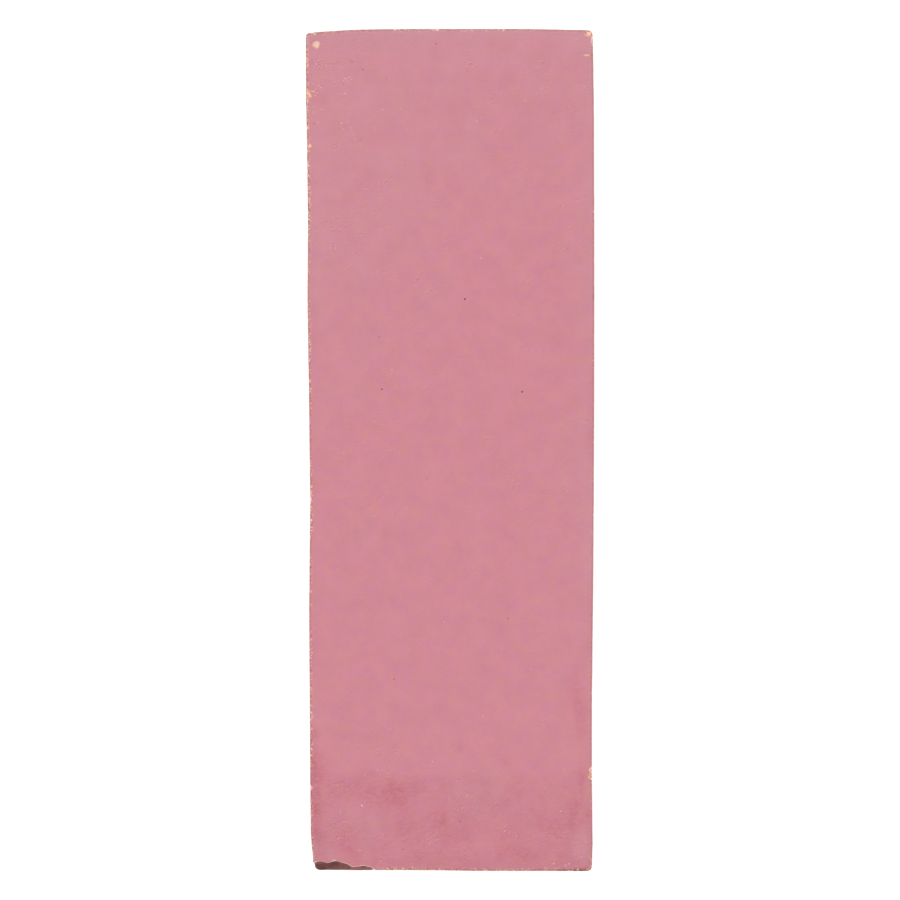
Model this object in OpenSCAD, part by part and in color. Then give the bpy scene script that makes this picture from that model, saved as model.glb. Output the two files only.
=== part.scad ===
// Glazed clay bar tile: a hand-pressed bar of fired clay under a cream slip coat and a pink glaze coat.
// The bar lies on its back at Z = 0 with its glazed face up and its length along Y. Millimetres.

/* [Bar] */
// Length over all
bar_length = 150; // [120:1:180]
// Width over all
bar_width = 51.4; // [44:0.1:60]
// Thickness over all, both coats included
bar_thickness = 15; // [12:0.5:20]
// How much narrower the back is than the face, on each side
back_draft = 0.5; // [0.2:0.1:1]
// Radius of the worn edge round the face
face_arris = 0.6; // [0.4:0.1:1.2]
// Radius of the edge round the back
back_arris = 1; // [0.4:0.1:1.5]

/* [Coats] */
// Slip thickness on the face
slip_on_face = 0.3; // [0.2:0.05:0.5]
// Slip thickness on the sides
slip_on_sides = 0.15; // [0.1:0.05:0.3]
// How far the slip runs down the sides
slip_run = 3.2; // [2.5:0.1:4.5]
// Glaze thickness on the face
glaze_on_face = 0.35; // [0.25:0.05:0.6]
// Glaze thickness on the sides
glaze_on_sides = 0.2; // [0.15:0.05:0.4]
// How far the glaze runs down the sides
glaze_run = 2.2; // [1.5:0.1:2.4]

/* [Damage] */
// Fall of the broken corner's surface towards the edge, in degrees
break_slope = 62; // [45:1:70]
// How far the broken slip stands out past the broken glaze
slip_ledge = 0.15; // [0.05:0.05:0.3]

/* [Hidden] */

clay_colour = [0.53, 0.31, 0.25];
slip_colour = [0.95, 0.80, 0.68];
glaze_colour = [0.82, 0.55, 0.59];

arc_steps = 5;      // straight steps in each rounded corner and edge
overshoot = 2;      // how far a cutter runs past what it cuts

body_top = bar_thickness - slip_on_face - glaze_on_face;
slip_top = bar_thickness - glaze_on_face;
coat_on_sides = slip_on_sides + glaze_on_sides;

// How far each hand-cut edge lies inside the overall rectangle: [share of the edge, inset].
// The edges run anticlockwise from the front left corner.
FRONT_EDGE = [[0.07, 0.27], [0.16, 0.2], [0.36, 0.2], [0.5, 0.12], [0.57, 0.05], [0.85, 0.03], [0.94, 0]];
RIGHT_EDGE = [
    [0.033, 0.3], [0.11, 0.43], [0.2, 0.43], [0.25, 0.33], [0.35, 0.18],
    [0.44, 0.1], [0.58, 0], [0.77, 0], [0.91, 0.08], [0.973, 0.22]
];
REAR_EDGE = [[0.04, 0.19], [0.15, 0.1], [0.22, 0.02], [0.5, 0], [0.7, 0.04], [0.78, 0.1], [0.85, 0.2], [0.95, 0.52]];
LEFT_EDGE = [
    [0.027, 0], [0.085, 0.05], [0.15, 0.25], [0.23, 0.4], [0.32, 0.3], [0.42, 0.55],
    [0.56, 0.8], [0.69, 0.6], [0.8, 0.72], [0.89, 0.8], [0.955, 0.9], [0.978, 1.15]
];

// The corners: inset from the rectangle in X and Y, and how far the rounding reaches along each edge.
FRONT_LEFT = [1.45, 0.25, 1.3];
FRONT_RIGHT = [0.4, 0, 0.9];
REAR_RIGHT = [0.25, 0.2, 0.8];
REAR_LEFT = [0, 0.75, 0.4];

// The broken front left corner: offsets from the rectangle's corner along its ragged upper line.
BREAK_LINE = [
    [-2, 1.75], [1.8, 1.75], [2.7, 1.85], [3.4, 1.7], [4.1, 1.55], [4.6, 1.75], [5.2, 1.9], [5.8, 1.85],
    [6.5, 1.6], [7.1, 1.55], [7.6, 1.35], [8.1, 0.95], [8.7, 0.9], [9.5, 1.05], [10.2, 1.2], [10.8, 1.0],
    [11.4, 0.95], [11.9, 0.7], [12.4, 0.35], [12.8, -2]
];

// Where the glaze has come off the slip: [share of the width, share of the length, radius in X, radius in Y].
GLAZE_LOSSES = [
    [0.036, 0.982, 0.62, 0.72],     // popped blister near the rear left corner
    [0.003, 0.961, 0.45, 0.85],     // nicks in the left edge
    [0.011, 0.924, 0.6, 0.85],
    [0.007, 0.858, 0.5, 0.65],
    [0.978, 0.969, 0.8, 0.2],       // slit near the right edge
    [0.99, 0.996, 0.6, 0.6],        // rear right corner
    [0.99, 0.114, 0.5, 0.9]         // nick in the right edge
];
LOSS_SIDES = 9;

function front_point(at) = [(at[0] - 0.5) * bar_width, -bar_length / 2 + at[1]];
function right_point(at) = [bar_width / 2 - at[1], (at[0] - 0.5) * bar_length];
function rear_point(at) = [(0.5 - at[0]) * bar_width, bar_length / 2 - at[1]];
function left_point(at) = [-bar_width / 2 + at[1], (0.5 - at[0]) * bar_length];

// A rounded corner at [sx, sy] of the rectangle, drawn from the point before it to the point after it.
function corner(sx, sy, shape, into, out) =
    let (
        tip = [sx * (bar_width / 2 - shape[0]), sy * (bar_length / 2 - shape[1])],
        start = tip - shape[2] * into,
        stop = tip + shape[2] * out
    )
    [for (i = [0:arc_steps]) let (t = i / arc_steps) (1 - t) ^ 2 * start + 2 * t * (1 - t) * tip + t ^ 2 * stop];

OUTLINE = concat(
    corner(-1, -1, FRONT_LEFT, [0, -1], [1, 0]), [for (at = FRONT_EDGE) front_point(at)],
    corner(1, -1, FRONT_RIGHT, [1, 0], [0, 1]), [for (at = RIGHT_EDGE) right_point(at)],
    corner(1, 1, REAR_RIGHT, [0, 1], [-1, 0]), [for (at = REAR_EDGE) rear_point(at)],
    corner(-1, 1, REAR_LEFT, [-1, 0], [0, -1]), [for (at = LEFT_EDGE) left_point(at)]
);

// One level of a loft: the outline drawn in by an inset on every side.
function ring(z, inset) =
    [for (p = OUTLINE) [p[0] * (1 - 2 * inset / bar_width), p[1] * (1 - 2 * inset / bar_length), z]];

// Levels [z, inset] of a rounded edge of radius r, from the side up onto a face at height top.
function arris_levels(top, r, inset) =
    [for (i = [0:arc_steps]) let (a = 90 * i / arc_steps) [top - r + r * sin(a), inset + r * (1 - cos(a))]];

// How far the clay's side lies inside the outline at height z.
function side_inset(z) = coat_on_sides + back_draft * (1 - z / body_top);

// A solid through the levels [[z, inset], ...], from the lowest up, closed by fans round two centre points.
module loft(levels) {
    n = len(OUTLINE);
    last = len(levels) - 1;
    low_centre = n * len(levels);
    points = concat(
        [for (level = levels) each ring(level[0], level[1])],
        [[0, 0, levels[0][0]], [0, 0, levels[last][0]]]
    );
    sides = [
        for (k = [0:last - 1], i = [0:n - 1])
            let (a = k * n + i, b = k * n + (i + 1) % n) each [[a, a + n, b + n], [a, b + n, b]]
    ];
    low_cap = [for (i = [0:n - 1]) [low_centre, i, (i + 1) % n]];
    high_cap = [for (i = [0:n - 1]) [low_centre + 1, last * n + (i + 1) % n, last * n + i]];
    polyhedron(points = points, faces = concat(low_cap, sides, high_cap));
}

module clay_shape() {
    back = [
        for (i = [arc_steps:-1:1])
            let (a = 90 * i / arc_steps)
            [back_arris * (1 - sin(a)), side_inset(0) + back_arris * (1 - cos(a))]
    ];
    loft(concat(
        back,
        [[back_arris, side_inset(back_arris)]],
        arris_levels(body_top, face_arris, side_inset(body_top))
    ));
}

// The outside of a coat: its top, its thickness off the clay's sides, and its lower edge.
module coat_shape(top, on_sides, low) {
    loft(concat(
        [[low, side_inset(low) - on_sides]],
        arris_levels(top, face_arris, side_inset(body_top) - on_sides)
    ));
}

module slip_shape() {
    coat_shape(slip_top, slip_on_sides, body_top - slip_run);
}

module glaze_shape() {
    coat_shape(bar_thickness, coat_on_sides, body_top - glaze_run);
}

// The prism over the broken corner, its ragged line moved by the given distance towards the edge.
module broken_corner(moved = 0) {
    from = [-bar_width / 2, -bar_length / 2 - moved];
    linear_extrude(height = bar_thickness + overshoot)
        polygon(concat(
            [for (p = BREAK_LINE) from + p],
            [from + [-overshoot, -overshoot]]
        ));
}

// What is missing from the clay: the part of that prism above a plane that falls towards the edge.
module broken_clay() {
    reach = max([for (p = BREAK_LINE) p[1]]);
    intersection() {
        broken_corner();
        translate([-bar_width / 2 - overshoot, -bar_length / 2 + reach, body_top])
            rotate([break_slope, 0, 0])
                translate([0, -bar_width, 0])
                    cube([bar_width, 2 * bar_width, bar_thickness]);
    }
}

module glaze_loss(at) {
    centre = [(at[0] - 0.5) * bar_width, (at[1] - 0.5) * bar_length];
    linear_extrude(height = bar_thickness + overshoot)
        polygon([
            for (i = [0:LOSS_SIDES - 1])
                let (a = 360 * i / LOSS_SIDES, ragged = 1 + 0.15 * sin(3 * a + 360 * at[1] * i))
                centre + ragged * [at[2] * cos(a), at[3] * sin(a)]
        ]);
}

module clay_body() {
    color(clay_colour)
        difference() {
            clay_shape();
            broken_clay();
        }
}

module slip_coat() {
    color(slip_colour)
        difference() {
            slip_shape();
            clay_shape();
            broken_corner(slip_ledge);
        }
}

module glaze_coat() {
    color(glaze_colour)
        difference() {
            glaze_shape();
            slip_shape();
            clay_shape();
            broken_corner();
            for (at = GLAZE_LOSSES) glaze_loss(at);
        }
}

clay_body();
slip_coat();
glaze_coat();
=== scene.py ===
import functools
import math

import bmesh
import bpy
import numpy as np
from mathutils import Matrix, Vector
from mathutils.geometry import delaunay_2d_cdt


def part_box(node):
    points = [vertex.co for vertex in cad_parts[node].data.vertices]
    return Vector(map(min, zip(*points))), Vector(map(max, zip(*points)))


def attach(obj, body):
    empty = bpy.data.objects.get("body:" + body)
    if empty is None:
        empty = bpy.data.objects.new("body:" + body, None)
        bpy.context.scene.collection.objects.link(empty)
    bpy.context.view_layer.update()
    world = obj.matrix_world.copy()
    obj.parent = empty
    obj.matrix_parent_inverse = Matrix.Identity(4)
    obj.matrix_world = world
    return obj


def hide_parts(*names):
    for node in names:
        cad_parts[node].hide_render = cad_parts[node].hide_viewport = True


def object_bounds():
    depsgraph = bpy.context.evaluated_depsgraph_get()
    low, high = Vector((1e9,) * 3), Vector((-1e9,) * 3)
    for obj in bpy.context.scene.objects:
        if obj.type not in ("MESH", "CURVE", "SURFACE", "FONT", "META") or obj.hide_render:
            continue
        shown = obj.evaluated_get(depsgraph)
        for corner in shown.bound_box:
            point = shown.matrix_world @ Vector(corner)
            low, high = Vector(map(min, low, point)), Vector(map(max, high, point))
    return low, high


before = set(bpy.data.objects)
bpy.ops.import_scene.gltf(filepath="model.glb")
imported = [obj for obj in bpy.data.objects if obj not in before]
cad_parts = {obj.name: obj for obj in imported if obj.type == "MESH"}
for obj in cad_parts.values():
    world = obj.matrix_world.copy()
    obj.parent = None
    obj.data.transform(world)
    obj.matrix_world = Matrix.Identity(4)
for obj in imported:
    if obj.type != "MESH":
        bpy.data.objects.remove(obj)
cad_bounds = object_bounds()

MM = 0.001

# ---------- frame sizes

WIDTH, LENGTH, TOP = (np.array(cad_bounds[1]) - np.array(cad_bounds[0])) / MM
SPAN = np.array([WIDTH, LENGTH])


class Layer:
    """One of the bar's nested surfaces, sized from the box of its CAD node."""

    def __init__(self, node, arris):
        low, high = (np.array(corner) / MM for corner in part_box(node))
        self.top = high[2]                              # height of its face
        self.run = high[2] - low[2]                     # how far down the sides it reaches
        self.inset = (WIDTH - (high[0] - low[0])) / 2   # how far in its sides lie
        self.arris = arris                              # radius of the edge round its face


CLAY = Layer("clay_body", 0.4)
SLIP = Layer("slip_coat", 0.42)
GLAZE = Layer("glaze_coat", 0.34)
BACK_DRAFT = 0.5                # how much narrower the back is than the face, on each side
DRAFT = BACK_DRAFT / CLAY.top   # the same per millimetre of height
BACK_ARRIS = 0.9                # radius of the edge round the back

RING_POINTS = 1600      # points in the outline and in each ring of the sides

# ---------- noise

NOISE_TABLE = 4096
HASH_PRIMES = np.array([73856093, 19349663, 83492791])


def noise(points, cell, seed):
    """Smooth noise from -1 to 1 at rows of x, y, z: one random value at each corner of a cubic lattice."""
    table = np.random.default_rng(seed).uniform(-1, 1, NOISE_TABLE)
    at = np.asarray(points) / cell
    base = np.floor(at).astype(np.int64)
    part = at - base
    part = part * part * (3 - 2 * part)
    total = np.zeros(len(at))
    for corner in np.ndindex(2, 2, 2):
        key = np.bitwise_xor.reduce((base + corner) * HASH_PRIMES, axis=1) % NOISE_TABLE
        total += np.prod(np.where(corner, part, 1 - part), axis=1) * table[key]
    return total


def layered_noise(points, cell, octaves, seed):
    """Noise with finer and weaker octaves on it."""
    return sum(noise(points, cell / 2**k, seed + k) / 2**k for k in range(octaves))


def flat_points(xy, z=0.0):
    """Rows of x, y with a height added."""
    return np.column_stack([xy, np.broadcast_to(z, len(xy))])


def fade(value, start, end):
    """0 at start and before, 1 at end and past it, smooth between; start may be above end."""
    t = np.clip((value - start) / (end - start), 0, 1)
    return t * t * (3 - 2 * t)


# ---------- outline


OUTLINE_SMOOTHING = 3   # rounds of smoothing that take the CAD's facets off the outline
EDGE_BAND = 1.7         # how near a side of the rectangle the points of that edge are


def hand_outline():
    """The hand-cut outline from above, evenly spaced: the ring at the foot of the CAD clay's sides."""
    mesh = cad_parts["clay_body"].data
    points = np.array([v.co for v in mesh.vertices]) / MM
    lower = points[points[:, 2] < TOP / 2]
    ring = lower[lower[:, 2] > lower[:, 2].max() - 0.01][:, :2]
    ring = np.unique(ring.round(3), axis=0)
    ring = ring[np.argsort(np.arctan2(ring[:, 1], ring[:, 0]))]
    ring *= SPAN / np.ptp(ring, axis=0)
    closed = np.vstack([ring, ring[:1]])
    reach = np.r_[0, np.cumsum(np.linalg.norm(np.diff(closed, axis=0), axis=1))]
    at = np.linspace(0, reach[-1], RING_POINTS, endpoint=False)
    ring = np.column_stack([np.interp(at, reach, closed[:, k]) for k in (0, 1)])
    for _ in range(OUTLINE_SMOOTHING):
        ring = (np.roll(ring, 1, axis=0) + 2 * ring + np.roll(ring, -1, axis=0)) / 4
    ring -= (ring.min(axis=0) + ring.max(axis=0)) / 2
    return ring * SPAN / np.ptp(ring, axis=0)


OUTLINE = hand_outline()


def drawn_in(inset):
    """The outline moved in by an inset on every side."""
    inset = np.broadcast_to(inset, RING_POINTS)[:, None]
    return OUTLINE * (1 - 2 * inset / SPAN)


def edge_reader(axis, sign):
    """A function giving how far out one long or short edge lies, from the place along it."""
    along = 1 - axis
    half = SPAN[axis] / 2
    near = OUTLINE[OUTLINE[:, axis] * sign > half - EDGE_BAND]
    near = near[np.argsort(near[:, along])]
    return lambda place: np.interp(place, near[:, along], near[:, axis] * sign)


EDGES = [(axis, sign, edge_reader(axis, sign)) for axis in (0, 1) for sign in (-1, 1)]


def inset_at(xy):
    """How far points lie inside the outline, seen from above."""
    return np.min([edge(xy[:, 1 - axis]) - sign * xy[:, axis] for axis, sign, edge in EDGES], axis=0)


# ---------- relief of the bar

SWELL = 0.16        # depth of the face's wide, shallow waves
RIPPLE = 0.05       # depth of the smaller waves on them
EDGE_FALL = 0.1     # how much the face falls towards its edges
HEADROOM = 0.05     # how far the highest part of the face stays under the frame's top
PIMPLE = 0.013      # height of the small bumps in the glaze


def face_dip(xy):
    """How far the face lies under its nominal height: shared by the clay and both coats."""
    points = flat_points(xy)
    swell = SWELL * (0.5 + 0.5 * layered_noise(points, 30, 2, 11)) / 1.25
    ripple = RIPPLE * (0.5 + 0.5 * layered_noise(points, 8, 2, 21))
    dip = HEADROOM + np.clip(swell, 0, None) + np.clip(ripple, 0, None)
    return dip + EDGE_FALL * np.exp(-inset_at(xy) / 2)


def roughness(points):
    """How pimpled the glaze is, from 0 to 1: in patches, most at the rear left and the front."""
    share = points[:, :2] / SPAN + 0.5
    rear_left = fade(share[:, 1] - 0.35 * share[:, 0], 0.5, 0.8)
    front = fade(share[:, 1], 0.15, 0.1)
    patches = fade(layered_noise(points, 4, 3, 331), 0, 0.9)
    return np.clip(0.12 + patches * (0.5 + 0.6 * np.maximum(rear_left, front)) + 0.2 * front, 0, 1)


def pimples(xy):
    """Height of the glaze's own small bumps over the slip's shape."""
    points = flat_points(xy)
    return PIMPLE * roughness(points) * layered_noise(points, 1.1, 2, 341)


def side_hollow(points):
    """How far the sides lie in from their nominal place: dents left by the hand and the knife."""
    below = fade(points[:, 2], TOP - 0.5, TOP - 4)
    dents = 0.13 * (0.6 + layered_noise(points, 11, 3, 31)) * below
    ragged = 0.02 * layered_noise(points, 1.3, 2, 41)
    return np.clip(dents, 0, None) + ragged


SIDE_PITS = 260         # open pits in the clay's sides, at random places


def clay_hollow(points):
    """The bare clay's own roughness below the coats: drag lines, grog and open pits."""
    bare = fade(points[:, 2], TOP - 2.2, TOP - 4.5)
    slanted = points * (0.35, 0.35, 1) + points[:, [1, 0, 0]] * (0, 0, 0.12)
    drag = 0.07 * (0.5 + layered_noise(slanted, 1.6, 3, 51))
    grain = 0.05 * (0.5 + layered_noise(points, 0.9, 2, 61))
    rng = np.random.default_rng(71)
    side = RING_POINTS * rng.random(SIDE_PITS)
    centres = np.column_stack([OUTLINE[side.astype(int)], rng.uniform(0.5, TOP - 3, SIDE_PITS)])
    wide = rng.uniform(0.25, 0.9, SIDE_PITS) ** 1.3
    pits = np.zeros(len(points))
    for centre, radius in zip(centres, wide):
        near = np.abs(points - centre).max(axis=1) < 3 * radius
        gap = np.linalg.norm((points[near] - centre) * (1, 1, 1.4), axis=1)
        pits[near] = np.maximum(pits[near], 0.55 * radius * fade(gap, 1.5 * radius, 0.5 * radius))
    return (np.clip(drag, 0, None) + np.clip(grain, 0, None)) * bare + pits - flush_clay(points)


def flush_clay(points):
    """At the broken corner the clay stands out as far as the coats beside it, and blends in below them."""
    corner = points[:, :2] + SPAN / 2       # offsets from the front left corner
    wider = 9 * fade(points[:, 2], 11, 8)
    along = fade(corner[:, 0], 12.8 + wider, 12.2 - wider / 3)
    across = fade(corner[:, 1], 2.6 + wider, 2.0)
    return (CLAY.inset + 0.4) * along * across * fade(points[:, 2], 1, 10.5)


def back_relief(xy):
    """Height of the back over what it lies on: flat high spots, with scraped hollows between them."""
    points = flat_points(xy)
    hollow = 0.3 * layered_noise(points * (1, 0.45, 1), 9, 3, 81)
    grit = 0.09 * layered_noise(points, 1.5, 2, 91)
    slanted = points * (0.12, 1, 1) + points[:, [1, 0, 0]] * (0, 0.35, 0)
    scrape = 0.1 * np.maximum(0, noise(slanted, 2.1, 101))
    return np.clip(hollow + grit + scrape, 0, 0.6)


# Pits in the glazed face: [share of the width, share of the length, radius, depth].
FACE_PITS = [
    [0.388, 0.702, 0.17, 0.1], [0.552, 0.679, 0.22, 0.22], [0.255, 0.634, 0.17, 0.1],
    [0.264, 0.572, 0.21, 0.17], [0.75, 0.569, 0.22, 0.2], [0.453, 0.982, 0.2, 0.1],
    [0.306, 0.228, 0.18, 0.12], [0.535, 0.059, 0.3, 0.1], [0.338, 0.026, 0.18, 0.1],
    [0.888, 0.07, 0.25, 0.09], [0.7, 0.3, 0.18, 0.1], [0.113, 0.96, 0.19, 0.08], [0.16, 0.96, 0.3, 0.1],
    [0.155, 0.9625, 0.2, 0.06], [0.197, 0.951, 0.2, 0.1], [0.224, 0.957, 0.16, 0.06],
    [0.193, 0.868, 0.2, 0.08], [0.28, 0.94, 0.2, 0.06], [0.029, 0.887, 0.18, 0.1],
    [0.132, 0.933, 0.24, 0.05], [0.246, 0.915, 0.2, 0.05], [0.51, 0.33, 0.2, 0.05],
    [0.42, 0.465, 0.2, 0.06], [0.62, 0.51, 0.2, 0.05], [0.13, 0.39, 0.22, 0.07],
    [0.82, 0.45, 0.18, 0.05],
]
PIT_DEPTH = 0.3         # the depth at which the painted shade in pits is as dark as it gets
# Small blisters that stand up a little and carry painted highlights: the same four numbers, with a height
# for the depth.
FACE_SPECKS = [
    [0.292, 0.657, 0.18, 0.03], [0.299, 0.595, 0.18, 0.03], [0.607, 0.728, 0.17, 0.03],
    [0.48, 0.296, 0.18, 0.03], [0.613, 0.184, 0.18, 0.03], [0.195, 0.078, 0.22, 0.05],
    [0.188, 0.025, 0.18, 0.03], [0.859, 0.009, 0.2, 0.04], [0.76, 0.914, 0.24, 0.02],
    [0.558, 0.882, 0.2, 0.02], [0.592, 0.89, 0.24, 0.02], [0.61, 0.894, 0.22, 0.02],
    [0.886, 0.071, 0.2, 0.06], [0.9, 0.007, 0.2, 0.04], [0.913, 0.009, 0.2, 0.04],
    [0.83, 0.004, 0.2, 0.04], [0.037, 0.958, 0.17, 0.05], [0.031, 0.961, 0.14, 0.04],
    [0.044, 0.962, 0.15, 0.03], [0.072, 0.956, 0.15, 0.03], [0.035, 0.928, 0.14, 0.05],
    [0.041, 0.924, 0.14, 0.04], [0.033, 0.921, 0.15, 0.04], [0.138, 0.941, 0.18, 0.04],
    [0.151, 0.942, 0.16, 0.05], [0.143, 0.939, 0.14, 0.03], [0.138, 0.923, 0.17, 0.05],
    [0.124, 0.888, 0.17, 0.05], [0.121, 0.884, 0.14, 0.03], [0.145, 0.889, 0.15, 0.04],
    [0.155, 0.883, 0.14, 0.04], [0.167, 0.876, 0.14, 0.04], [0.029, 0.901, 0.15, 0.04],
    [0.043, 0.889, 0.16, 0.03], [0.266, 0.904, 0.16, 0.04], [0.24, 0.882, 0.15, 0.03],
    [0.33, 0.905, 0.15, 0.03], [0.41, 0.76, 0.15, 0.03], [0.72, 0.66, 0.15, 0.03],
    [0.35, 0.43, 0.15, 0.03], [0.16, 0.5, 0.15, 0.03], [0.6, 0.42, 0.15, 0.03],
    [0.78, 0.24, 0.15, 0.03], [0.44, 0.13, 0.15, 0.04], [0.046, 0.9325, 0.14, 0.06],
    [0.052, 0.93, 0.15, 0.05], [0.058, 0.9265, 0.13, 0.04], [0.026, 0.934, 0.13, 0.06],
    [0.148, 0.9365, 0.13, 0.04], [0.132, 0.9385, 0.14, 0.05], [0.16, 0.94, 0.13, 0.04],
    [0.158, 0.88, 0.12, 0.04], [0.164, 0.873, 0.12, 0.04], [0.171, 0.869, 0.12, 0.05],
    [0.13, 0.881, 0.12, 0.04], [0.055, 0.904, 0.14, 0.04], [0.25, 0.12, 0.15, 0.04],
    [0.12, 0.07, 0.15, 0.04], [0.56, 0.09, 0.15, 0.03], [0.66, 0.12, 0.15, 0.03],
]
SPECK_HEIGHT = 0.06     # the height at which the painted highlight on specks is as pale as it gets


def spots(table):
    """Centres, radii and depths of a table of spots, in millimetres."""
    rows = np.array(table)
    return (rows[:, :2] - 0.5) * SPAN, rows[:, 2], rows[:, 3]


def spot_relief(xy, table):
    """Sum of the rounded bumps of a table of spots, each as high as its last number."""
    total = np.zeros(len(xy))
    for centre, radius, height in zip(*spots(table)):
        near = np.abs(xy - centre).max(axis=1) < 1.5 * radius
        gap = np.linalg.norm(xy[near] - centre, axis=1)
        total[near] += height * fade(gap, radius, 0.35 * radius)
    return total


# ---------- shells

ARRIS_STEPS = 6         # rings in each rounded edge of the face
ROSETTE = (0.35, 0.6, 0.85, 1.15)       # rings of points at a spot, as shares of its radius
ROSETTE_POINTS = 10
LOOSENESS = 0.18        # how far a face's points are shaken out of place, as a share of their spacing


def side_ring(layer, drop, inset, drawn=None):
    """A ring at a drop below a layer's face, or at each point's own drop, drawn in by an inset."""
    xy = drawn_in(inset)
    z = layer.top - face_dip(xy) * fade(drop, 4, 1) - drop
    points = flat_points(xy, z)
    more = side_hollow(points) * fade(np.broadcast_to(drop, RING_POINTS), 0.05, 0.5)
    if drawn is not None:
        more = more + drawn(points)
    return flat_points(drawn_in(inset + more), z)


def arris_rings(layer):
    """The rings of a layer's rounded edge, from its flat face out to its side."""
    turns = np.linspace(0, math.pi / 2, ARRIS_STEPS)
    return [
        side_ring(layer, layer.arris * (1 - math.cos(a)), layer.inset + layer.arris * (1 - math.sin(a)))
        for a in turns
    ]


def hexagonal_points(ring, spacing, margin, seed):
    """Points in a loose triangular pattern inside a ring, a margin away from it."""
    limit = ring * (1 - 2 * margin / SPAN)
    turn = np.arctan2(limit[:, 1], limit[:, 0])
    order = np.argsort(turn)
    reach = np.linalg.norm(limit, axis=1)[order]
    row = spacing * math.sqrt(0.75)
    ys = np.arange(-LENGTH / 2, LENGTH / 2, row)
    xs = np.arange(-WIDTH / 2, WIDTH / 2, spacing)
    grid_x, grid_y = np.meshgrid(xs, ys)
    grid_x[1::2] += spacing / 2
    points = np.column_stack([grid_x.ravel(), grid_y.ravel()])
    points += np.random.default_rng(seed).uniform(-LOOSENESS, LOOSENESS, points.shape) * spacing
    allowed = np.interp(np.arctan2(points[:, 1], points[:, 0]), turn[order], reach, period=2 * math.pi)
    return points[np.linalg.norm(points, axis=1) < allowed]


def with_spots(points, table):
    """Those points with a fine rosette of points in place of the coarse ones at each spot."""
    rosettes = []
    for centre, radius, _ in zip(*spots(table)):
        points = points[np.linalg.norm(points - centre, axis=1) > 1.5 * radius]
        rosettes.append(centre[None])
        for k, share in enumerate(ROSETTE):
            a = np.linspace(0, 2 * math.pi, ROSETTE_POINTS, endpoint=False) + 0.3 * k
            rosettes.append(centre + share * radius * np.column_stack([np.cos(a), np.sin(a)]))
    return np.vstack([points, *rosettes])


def cap(ring, inner):
    """Triangles over a ring and the points inside it, counting the ring's points first."""
    count = len(ring)
    points = np.vstack([ring, inner])
    border = [(i, (i + 1) % count) for i in range(count)]
    made = delaunay_2d_cdt([Vector(p) for p in points], border, [], 1, 1e-6)
    first = [sources[0] for sources in made[3]]
    triangles = np.array([[first[i] for i in face] for face in made[2]])
    a, b, c = (points[triangles[:, k]] for k in range(3))
    turn = (b[:, 0] - a[:, 0]) * (c[:, 1] - a[:, 1]) - (b[:, 1] - a[:, 1]) * (c[:, 0] - a[:, 0])
    triangles[turn < 0] = triangles[turn < 0][:, ::-1]
    return triangles[np.abs(turn) > 1e-9]


def mesh_object(name, points, faces):
    """A mesh object from points in millimetres."""
    mesh = bpy.data.meshes.new(name)
    mesh.from_pydata((np.asarray(points) * MM).tolist(), [], faces)
    mesh.validate()
    piece = bpy.data.objects.new(name, mesh)
    bpy.context.scene.collection.objects.link(piece)
    return piece


def shell(name, rings, first_inner, last_inner):
    """A closed solid: a cap in the first ring, walls from ring to ring, and a cap in the last ring."""
    count = RING_POINTS
    points = np.vstack([*rings, first_inner, last_inner])
    start = (len(rings) - 1) * count        # the last ring's first point
    walls = []
    here = np.arange(count)
    following = (here + 1) % count
    for a in range(0, start, count):
        b = a + count
        walls.append(np.column_stack([a + here, b + here, b + following, a + following]))
    face = cap(rings[0][:, :2], first_inner[:, :2])
    face = np.where(face < count, face, face + start)
    under = cap(rings[-1][:, :2], last_inner[:, :2])
    under = np.where(under < count, under + start, under + start + len(first_inner))[:, ::-1]
    return mesh_object(name, points, np.vstack(walls).tolist() + face.tolist() + under.tolist())


def face_points(layer, ring, spacing, seed, spot_table=None):
    """The points of a layer's face inside its ring, at their own heights."""
    xy = hexagonal_points(ring[:, :2], spacing, 0.4 * spacing, seed)
    if spot_table:
        xy = with_spots(xy, spot_table)
    return flat_points(xy, layer.top - face_dip(xy))


# ---------- pieces

SIDE_STEP = 0.36        # spacing of the rings down the clay's sides
BACK_RINGS = 5          # rings in the rounded edge of the back
COAT_RINGS = 8          # rings down the outside of a coat, from its arris to its lower end
BACK_SPACING = 0.62     # spacing of the points of the back
HIDDEN_SPACING = 1.4    # of the clay's face and the undersides of the coats
SLIP_SPACING = 1.0      # of the slip's face
GLAZE_SPACING = 0.42    # and of the glaze's


def clay_body():
    """The clay bar: face, arris, dented sides, rounded back edge and scraped back."""
    rings = arris_rings(CLAY)
    foot = CLAY.top - BACK_ARRIS
    for drop in np.linspace(CLAY.arris, foot, round((foot - CLAY.arris) / SIDE_STEP))[1:]:
        rings.append(side_ring(CLAY, drop, CLAY.inset + DRAFT * drop, clay_hollow))
    worn = 0.35 * (0.5 + 0.5 * layered_noise(rings[-1], 5, 3, 111))
    for a in np.linspace(0, math.pi / 2, BACK_RINGS)[1:]:
        drop = foot + BACK_ARRIS * math.sin(a)
        inset = CLAY.inset + DRAFT * foot + (BACK_ARRIS + worn) * (1 - math.cos(a))
        rings.append(side_ring(CLAY, drop, inset, clay_hollow))
    rings[-1][:, 2] = back_relief(rings[-1][:, :2])
    rings[-2][:, 2] = np.maximum(rings[-2][:, 2], rings[-1][:, 2] + 0.02)
    back = hexagonal_points(rings[-1][:, :2], BACK_SPACING, 0.3, 121)
    face = face_points(CLAY, rings[0], HIDDEN_SPACING, 131)
    return shell("clay_bar", rings, face, flat_points(back, back_relief(back)))


def run_limit(reach, seed):
    """How far down the sides a coat reaches, round the outline: a ragged line with a few drips."""
    points = flat_points(OUTLINE)
    ragged = layered_noise(points, 9, 4, seed)
    drips = np.maximum(0, noise(points, 3.5, seed + 7) - 0.35)
    return reach * np.clip(0.78 + 0.2 * ragged + 0.3 * drips, 0.45, 0.98)


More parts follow.
